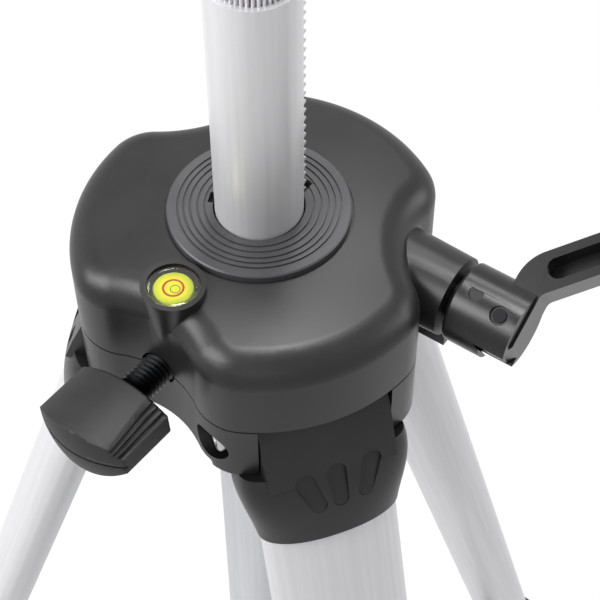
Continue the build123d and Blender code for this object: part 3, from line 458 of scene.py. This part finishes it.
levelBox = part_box("level_disc")
levelCentre = (levelBox[0] + levelBox[1]) / 2
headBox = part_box("head_plug")
headRadius = (headBox[1].x - headBox[0].x) / 2
skins = {name: mouldedAbs(name + "Abs", look) for name, look in mouldedLooks.items()}
skins["column_metal"] = anodisedTube("columnAnodised", anodisedLooks["column_metal"], upAxis)
skins["guide_metal"] = anodisedTube("guideAnodised", anodisedLooks["guide_metal"], upAxis)
legSkin = {
    k: anodisedTube(f"legAnodised{k}", anodisedLooks["leg_metal"], legDown[k])
    for k in legNumbers}
armSkin = {
    k: anodisedTube(f"spreaderAnodised{k}", anodisedLooks["arm_metal"], legDown[k])
    for k in legNumbers}
skins["head_metal"] = castZinc("headZinc", headRadius)
skins["plain_steel"] = turnedMetal(turnedLooks["plain_steel"])
skins["dark_screw"] = turnedMetal(turnedLooks["dark_screw"])
skins["level_clear"] = clearAcrylic("levelAcrylic")
skins["level_liquid"] = levelFluid("levelFluid", levelCentre)
skins["foot_rubber"] = mouldedRubber("footRubber")
redInk = printedInk("levelRedInk", "#C01A04")
bubbleLine = printedInk("levelBubbleEdge", "#5E6A0C")
print("materials made:", len(bpy.data.materials))


def skinFor(node):
    slotName = slotOf[node]
    if slotName == "leg_metal":
        return legSkin[int(node[-1])]
    if slotName == "arm_metal":
        return armSkin[int(node[-1])]
    return skins[slotName]


# Solids whose shape is right keep their form, with their edges broken by so many millimetres

edgeBreak = {
    "crown_cover": 0.35, "crown_housing": 0.35, "column_collar": 0.12, "crank_hub": 0.4,
    "crank_arm": 0.45, "lock_knob": 0.4, "column_tube": 0.0, "head_plug": 0.0,
    "column_end_bush": 0.3, "guide_tube": 0.1, "guide_ferrule": 0.3, "spreader_hub": 0.6,
    "brake_shoe": 0.3, "arm_pin": 0.2, "leg_hinge_pins": 0.3, "crown_screws": 0.3,
    "lock_nut": 0.2, "shaft_bush": 0.2, "crank_shaft": 0.2, "rack_pinion": 0.0, "grip_axle": 0.3,
}
for k in legNumbers:
    edgeBreak.update({
        f"leg_top_{k}": 0.7,
        f"upper_tube_{k}": 0.2, f"middle_tube_{k}": 0.2, f"lower_tube_{k}": 0.2,
        f"upper_clamp_{k}": 0.6, f"lower_clamp_{k}": 0.6,
        f"upper_lever_{k}": 0.6, f"lower_lever_{k}": 0.6,
        f"spreader_arm_{k}": 0.5, f"spreader_bracket_{k}": 0.5, f"foot_{k}": 0.5,
    })
dressing = {
    "mergeMm": 0.002, "flatDegrees": 0.4, "edgeDegrees": 35, "sliverMm": 0.005,
    "smoothDegrees": 32, "normalWeight": 80,
}


def dressedCopy(node, edgeMm):
    pickOnly(frame["nodes"][node])
    bpy.ops.object.duplicate()
    piece = bpy.context.object
    words = node.split("_")
    piece.name = words[0] + "".join(word.title() for word in words[1:]) + "Skin"
    del piece["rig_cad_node"]
    editWhole(piece)
    bpy.ops.mesh.remove_doubles(threshold=dressing["mergeMm"] * mm)
    bpy.ops.mesh.dissolve_limited(angle_limit=math.radians(dressing["flatDegrees"]))
    leaveEdit()
    if edgeMm > 0:
        applyModifier(piece, "BEVEL", width=edgeMm * mm, segments=2, limit_method="ANGLE",
                      angle_limit=math.radians(dressing["edgeDegrees"]),
                      use_clamp_overlap=True, loop_slide=False)
        editWhole(piece)
        bpy.ops.mesh.remove_doubles(threshold=dressing["sliverMm"] * mm)
        bpy.ops.mesh.dissolve_degenerate(threshold=dressing["sliverMm"] * mm)
        leaveEdit()
    shadeByAngle(piece, dressing["smoothDegrees"])
    applyModifier(piece, "WEIGHTED_NORMAL", keep_sharp=True, weight=dressing["normalWeight"])
    finishPiece(piece, bodyOf[node], slotOf[node], skinFor(node), node)


for node, edgeMm in edgeBreak.items():
    dressedCopy(node, edgeMm)
print("solids dressed:", len(edgeBreak))

# Threads, with the plain ends of the lock screw and of the head's stud as rings of (radius, height)

lockThread = {
    "major": 5.0, "root": 4.15, "pitch": 1.5, "start": 24.5, "end": 57.5,
    "tip": [(2.7, 20.2), (3.0, 20.5), (3.0, 24.7)], "shank": [(4.9, 57.4), (4.9, 67.9)],
}
studThread = {
    "major": 3.175, "root": 2.6, "pitch": 1.27, "start": 0.0, "end": 6.5,
    "foot": [(4.5, -12.0), (4.76, -11.7), (4.76, -0.3), (4.3, 0.0)],
}


def threadedRod(name, thread, steps=32):
    # a V swept up a helix, then cut square at both ends
    deselectAll()
    bpy.ops.mesh.primitive_circle_add(vertices=3, radius=thread["major"] * mm)
    rod = bpy.context.object
    rod.name = name
    half = thread["pitch"] / 2
    below = thread["start"] - 2 * thread["pitch"]
    low, crest, high = rod.data.vertices
    low.co = Vector((thread["root"], 0, below - half)) * mm
    crest.co = Vector((thread["major"], 0, below)) * mm
    high.co = Vector((thread["root"], 0, below + half)) * mm
    # the side from root to root goes, and the two flanks stay
    rootSide = 0.98 * thread["pitch"] * mm
    pickEdges(rod, lambda a, b: (a - b).length > rootSide and a.x < thread["major"] * mm)
    bpy.ops.mesh.delete(type="EDGE")
    leaveEdit()
    turns = math.ceil((thread["end"] - thread["start"]) / thread["pitch"]) + 4
    seam = 0.01 * mm
    applyModifier(rod, "SCREW", screw_offset=thread["pitch"] * mm, iterations=turns, steps=steps,
                  render_steps=steps, axis="Z", use_merge_vertices=True, merge_threshold=seam)
    editWhole(rod)
    bpy.ops.mesh.remove_doubles(threshold=seam)
    bpy.ops.mesh.bisect(
        plane_co=(0, 0, thread["start"] * mm), plane_no=(0, 0, 1), use_fill=True, clear_inner=True)
    bpy.ops.mesh.select_all(action="SELECT")
    bpy.ops.mesh.bisect(
        plane_co=(0, 0, thread["end"] * mm), plane_no=(0, 0, 1), use_fill=True, clear_outer=True)
    bpy.ops.mesh.select_all(action="SELECT")
    bpy.ops.mesh.normals_make_consistent(inside=False)
    leaveEdit()
    return rod


lockRod = threadedRod("lockScrewThread", lockThread)
lockTip = turnedPiece("lockScrewTip", lockThread["tip"])
lockShank = turnedPiece("lockScrewShank", lockThread["shank"])
lockScrew = joinPieces(lockRod, lockTip, lockShank)
standAlong(lockScrew, lockLine, lockAxis)
shadeByAngle(lockScrew, 25)
finishPiece(lockScrew, "lock", "dark_screw", skins["dark_screw"], "lock_screw")

studRod = threadedRod("headStudThread", studThread)
studRoot = turnedPiece("headStudRoot", studThread["foot"])
headStud = joinPieces(studRod, studRoot)
shadeByAngle(headStud, 25)
finishPiece(headStud, "column", "plain_steel", skins["plain_steel"], "head_stud")
print("threads cut")

# Bubble level, with the rounding of its edges as (inwards, downwards)

level = {
    "glass": 7.45, "glassMiddle": 0.8,
    "glassEdge": ((0.0, 0.6), (0.2, 0.25), (0.6, 0.05), (1.2, 0.0)),
    "well": 5.55, "wellEdge": ((0.0, 0.3), (0.25, 0.05)), "printDeep": 0.05,
    "ring": 2.75, "ringWire": 0.3, "pressed": 0.5,
    "bubble": 1.3, "bubbleWire": 0.13, "bubbleAside": (0.35, -0.55, 0.0),
}
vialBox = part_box("level_vial")
vialFoot = Vector((levelCentre.x, levelCentre.y, vialBox[0].z))
vialTall = (vialBox[1].z - vialBox[0].z) / mm
liquidTall = (levelBox[1].z - levelBox[0].z) / mm

fluidEdge = [(level["well"] - inwards, liquidTall - down) for inwards, down in level["wellEdge"]]
fluid = turnedPiece("levelFluidDisc", [(level["well"], 0.0), *fluidEdge], 64)
standAlong(fluid, vialFoot, upAxis)
shadeByAngle(fluid)
finishPiece(fluid, "crown", "level_liquid", skins["level_liquid"], "level_disc")

glassEdge = [(level["glass"] - inwards, vialTall - down) for inwards, down in level["glassEdge"]]
glass = turnedPiece("levelGlass", [
    (level["glass"], liquidTall), *glassEdge, (level["glassMiddle"], vialTall)], 64)
standAlong(glass, vialFoot, upAxis)
shadeByAngle(glass, 40)
finishPiece(glass, "crown", "level_clear", skins["level_clear"], "level_vial")


def flatRing(name, radius, wire, place):
    ring = wireRing(name, radius, wire, (1, 1, level["pressed"]))
    standAlong(ring, place, upAxis)
    shadeByAngle(ring, 60)
    return ring


plateTop = vialFoot + upAxis * (liquidTall - level["printDeep"]) * mm
redRing = flatRing("levelRing", level["ring"], level["ringWire"], plateTop)
finishPiece(redRing, "crown", "level_liquid", redInk)
bubbleSpot = plateTop + Vector(level["bubbleAside"]) * mm  # a little off the middle
bubbleRing = flatRing("levelBubble", level["bubble"], level["bubbleWire"], bubbleSpot)
finishPiece(bubbleRing, "crown", "level_liquid", bubbleLine)
print("level filled")

# Crank grip

grip = {
    "end": 6.2, "belly": 7.5, "bellyAt": 0.4, "mouth": 4.4, "edge": 0.5,
    "ribs": 8, "firstRib": 3.0, "ribPitch": 2.6,
    "groove": 0.55, "grooveWide": 1.3, "grooveWall": 0.4,
}
gripVertices = frame["nodes"]["crank_grip"].data.vertices
gripSpan = [(vertex.co - gripLine).dot(gripAxis) / mm for vertex in gripVertices]
gripLong = max(gripSpan) - min(gripSpan)


def gripRadius(along):
    share = along / gripLong
    swell = grip["belly"] - grip["end"]
    if share < grip["bellyAt"]:
        return grip["end"] + swell * share / grip["bellyAt"]
    return grip["belly"] - swell * (share - grip["bellyAt"]) / (1 - grip["bellyAt"])


gripRings = [
    (grip["mouth"], 0.0), (gripRadius(0) - grip["edge"], 0.0),
    (gripRadius(grip["edge"]), grip["edge"])]
for rib in range(grip["ribs"]):
    along = grip["firstRib"] + rib * grip["ribPitch"]
    grooveEnd = along + grip["grooveWide"]
    floorRadius = gripRadius(along + grip["grooveWide"] / 2) - grip["groove"]
    gripRings += [
        (gripRadius(along), along), (floorRadius, along + grip["grooveWall"]),
        (floorRadius, grooveEnd - grip["grooveWall"]), (gripRadius(grooveEnd), grooveEnd)]
gripRings += [
    (gripRadius(gripLong - grip["edge"]), gripLong - grip["edge"]),
    (gripRadius(gripLong) - grip["edge"], gripLong), (grip["mouth"], gripLong)]
crankGrip = turnedPiece("crankGripRibbed", gripRings, 64)
standAlong(crankGrip, gripLine + gripAxis * min(gripSpan) * mm, gripAxis)
shadeByAngle(crankGrip, 50)
finishPiece(crankGrip, "grip", "grip_plastic", skins["grip_plastic"], "crank_grip")
print("grip ribbed")

# Rivets of the spreader, with the dome as shares of (radius, rise)

rivet = {
    "radius": 3.2, "rise": 1.5, "sunk": 0.3, "wall": 0.2,
    "dome": ((0.93, 0.45), (0.75, 0.8), (0.4, 1.0)),
    "eyeHalf": 6.6, "bracketAlong": 520.0, "bracketIn": 18.0, "hubReach": 33.0,
}
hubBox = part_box("spreader_hub")
hubMiddle = Vector((0, 0, (hubBox[0].z + hubBox[1].z) / 2))


def rivetHead(name, place, axis):
    # closed by a snap tool: a low dome with a small flat
    dome = [(rivet["radius"] * wide, rivet["rise"] * tall) for wide, tall in rivet["dome"]]
    head = turnedPiece(name, [
        (rivet["radius"], -rivet["sunk"]), (rivet["radius"], rivet["wall"]), *dome], 32)
    standAlong(head, place, axis)
    shadeByAngle(head, 50)
    return head


for k in legNumbers:
    radial = Vector((legOut[k].x, legOut[k].y, 0)).normalized()
    bracketEye = legDown[k] * rivet["bracketAlong"] - legOut[k] * rivet["bracketIn"]
    eyes = {
        f"leg_{k}": legHinge[k] + bracketEye * mm,
        "spreader": hubMiddle + radial * rivet["hubReach"] * mm,
    }
    for body, eye in eyes.items():
        for side, word in ((1, "Near"), (-1, "Far")):
            place = eye + legAcross[k] * side * rivet["eyeHalf"] * mm
            head = rivetHead(f"{body.split('_')[0]}Rivet{k}{word}", place, legAcross[k] * side)
            finishPiece(head, body, "plain_steel", skins["plain_steel"])
print("rivets closed")

# Heads of the hinge pins, in the pockets of the lugs, rounded as (share of the radius, downwards)

pinHead = {
    "radius": 3.7, "from": 27.2, "to": 29.8, "rounding": ((1.0, 1.1), (0.93, 0.45), (0.75, 0.0)),
    "bore": 1.4, "boreEdge": 0.2, "boreDeep": 1.6,
}


def hingePinHead(name, place, axis):
    # spun over: a rounded collar with the pin's hollow end in it
    rounding = [
        (pinHead["radius"] * wide, pinHead["to"] - down) for wide, down in pinHead["rounding"]]
    head = turnedPiece(name, [
        (pinHead["radius"], pinHead["from"]), *rounding,
        (pinHead["bore"] + pinHead["boreEdge"], pinHead["to"]),
        (pinHead["bore"], pinHead["to"] - pinHead["boreEdge"]),
        (pinHead["bore"], pinHead["to"] - pinHead["boreDeep"])], 40)
    standAlong(head, place, axis)
    shadeByAngle(head, 50)
    return head


for k in legNumbers:
    head = hingePinHead(f"hingePinHead{k}", legHinge[k], -legAcross[k])
    finishPiece(head, "crown", "plain_steel", skins["plain_steel"])
print("pin heads spun")

# Thumb ridges on the levers

ridge = {
    "radius": 0.9, "half": 6.5, "taper": 0.6, "endShare": 0.45,
    "first": 13.0, "pitch": 3.6, "count": 5,
}


def thumbRidge(name, place, axis):
    # a half-sunk bar with rounded ends
    endRadius = ridge["radius"] * ridge["endShare"]
    bar = turnedPiece(name, [
        (endRadius, -ridge["half"]), (ridge["radius"], -ridge["half"] + ridge["taper"]),
        (ridge["radius"], ridge["half"] - ridge["taper"]), (endRadius, ridge["half"])], 20)
    standAlong(bar, place, axis)
    shadeByAngle(bar, 50)
    return bar


# Rings round the feet, with the spots as (way down the leg, half width, half depth)

footRing = {
    "spots": ((690.5, 19.5, 9.1), (694.0, 18.7, 10.0), (697.5, 17.9, 10.9)), "wire": 0.8,
}


def ovalRing(name, along, halfWide, halfDeep, k):
    ring = wireRing(name, halfDeep, footRing["wire"], (halfWide / halfDeep, 1, 1))
    turn = Matrix((legAcross[k], legOut[k], legDown[k])).transposed().to_4x4()
    bakePlace(ring, Matrix.Translation(legHinge[k] + legDown[k] * along * mm) @ turn)
    shadeByAngle(ring, 60)
    return ring


for k in legNumbers:
    for word in ("upper", "lower"):
        hinge = jointPoint(f"{word}_lever_{k}_flip")
        steps = [ridge["first"] + n * ridge["pitch"] for n in range(ridge["count"])]
        bars = [
            thumbRidge(f"{word}LeverRidge{k}", hinge + legDown[k] * step * mm, legAcross[k])
            for step in steps]
        finishPiece(joinPieces(*bars), f"{word}_lever_{k}", "lever_plastic", skins["lever_plastic"])
    rings = [ovalRing(f"footRings{k}", *spot, k) for spot in footRing["spots"]]
    finishPiece(joinPieces(*rings), f"lower_{k}", "foot_rubber", skins["foot_rubber"])
print("ridges and rings set")

# Floor, light and camera

studioFloor = {"size": 60, "tone": "#F4F4F3", "whiteShare": 0.88}
studioSky = {"tone": "#F4F4F4", "strength": 0.33}
studioLights = [
    {"name": "leftSoftbox", "from": (-1.2, -0.1, 0.85), "size": 0.9, "watts": 26},
    {"name": "lowSoftbox", "from": (-1.3, 0.4, 0.4), "size": 0.5, "watts": 8},
    {"name": "rightSoftbox", "from": (1.35, -0.5, 0.25), "size": 0.9, "watts": 10},
    {"name": "frontSoftbox", "from": (-0.6, -1.25, 0.4), "size": 0.6, "watts": 1},
    {"name": "topSoftbox", "from": (0.14, 0.2, 1.4), "size": 0.55, "watts": 22},
    {"name": "backSoftbox", "from": (0.66, 0.92, 1.35), "size": 0.4, "watts": 6},
]
photoView = {
    "aside": 308.652, "above": 348.142, "around": -109.1,
    "down": 51.74, "pan": 2.09, "roll": -0.283,
    "focalPixels": 1661.68, "imagePixels": 600, "sensorMm": 36,
}


def plainlySeen(tree):
    # 1 for what the camera, reflections and glass show, 0 for the light that falls on the object
    rays = addNode(tree, "ShaderNodeLightPath")
    seen = addNode(tree, "ShaderNodeMath", None, {
        0: rays.outputs["Is Camera Ray"], 1: rays.outputs["Is Glossy Ray"]}, operation="MAXIMUM")
    shown = addNode(tree, "ShaderNodeMath", None, {
        0: seen.outputs["Value"], 1: rays.outputs["Is Transmission Ray"]}, operation="MAXIMUM")
    return shown.outputs["Value"]


def paleFloor():
    deselectAll()
    bpy.ops.mesh.primitive_plane_add(size=studioFloor["size"], location=(0, 0, groundZ))
    floor = bpy.context.object
    floor.name = "studioFloor"
    bpy.ops.object.transform_apply(location=True, rotation=True, scale=True)
    material = bpy.data.materials.new("studioPaper")
    material.use_nodes = True
    tree = material.node_tree
    tree.nodes.remove(tree.nodes["Principled BSDF"])
    # mostly white as seen, with the rest left for the shadow
    share = addNode(tree, "ShaderNodeMath", {
        1: studioFloor["whiteShare"]}, {0: plainlySeen(tree)}, operation="MULTIPLY")
    paper = addNode(tree, "ShaderNodeBsdfDiffuse", {"Color": hexToLinear(studioFloor["tone"])})
    white = addNode(tree, "ShaderNodeEmission", {"Color": (1, 1, 1, 1), "Strength": 1.0})
    mix = addNode(tree, "ShaderNodeMixShader", None, {
        0: share.outputs["Value"], 1: paper.outputs["BSDF"], 2: white.outputs["Emission"]})
    tree.links.new(mix.outputs["Shader"], tree.nodes["Material Output"].inputs["Surface"])
    floor.data.materials.append(material)


def studioWorld():
    world = bpy.data.worlds.new("studioWorld")
    bpy.context.scene.world = world
    world.use_nodes = True
    tree = world.node_tree
    tree.nodes.clear()
    soft = addNode(tree, "ShaderNodeBackground", {
        "Color": hexToLinear(studioSky["tone"]), "Strength": studioSky["strength"]})
    white = addNode(tree, "ShaderNodeBackground", {"Color": (1, 1, 1, 1), "Strength": 1.0})
    mix = addNode(tree, "ShaderNodeMixShader", None, {
        0: plainlySeen(tree), 1: soft.outputs["Background"], 2: white.outputs["Background"]})
    output = addNode(tree, "ShaderNodeOutputWorld")
    tree.links.new(mix.outputs["Shader"], output.inputs["Surface"])


def studioLamp(lamp):
    place = Vector(lamp["from"])
    target = Vector((0, 0, collarTop))
    light = bpy.data.lights.new(lamp["name"], "AREA")
    light.shape = "DISK"
    light.size = lamp["size"]
    light.energy = lamp["watts"]
    holder = bpy.data.objects.new(lamp["name"], light)
    bpy.context.scene.collection.objects.link(holder)
    holder.location = place
    holder.rotation_euler = (target - place).to_track_quat("-Z", "Y").to_euler()


def photoCamera():
    camera = bpy.data.cameras.new("photoCamera")
    camera.sensor_width = photoView["sensorMm"]
    camera.lens = photoView["focalPixels"] / photoView["imagePixels"] * camera.sensor_width
    camera.clip_start = 0.01
    around = math.radians(photoView["around"])
    heading = around + math.pi - math.radians(photoView["pan"])
    down = math.radians(photoView["down"])
    holder = bpy.data.objects.new("photoCamera", camera)
    bpy.context.scene.collection.objects.link(holder)
    holder.location = (
        photoView["aside"] * mm * math.cos(around),
        photoView["aside"] * mm * math.sin(around),
        collarTop + photoView["above"] * mm,
    )
    ahead = Vector((
        math.cos(heading) * math.cos(down), math.sin(heading) * math.cos(down), -math.sin(down)))
    aim = ahead.to_track_quat("-Z", "Y").to_matrix().to_4x4()
    roll = Matrix.Rotation(math.radians(photoView["roll"]), 4, "Z")
    holder.rotation_euler = (aim @ roll).to_euler()
    bpy.context.scene.camera = holder


paleFloor()
studioWorld()
for lamp in studioLights:
    studioLamp(lamp)
photoCamera()
bpy.context.scene.view_settings.view_transform = "Standard"
print("studio set")
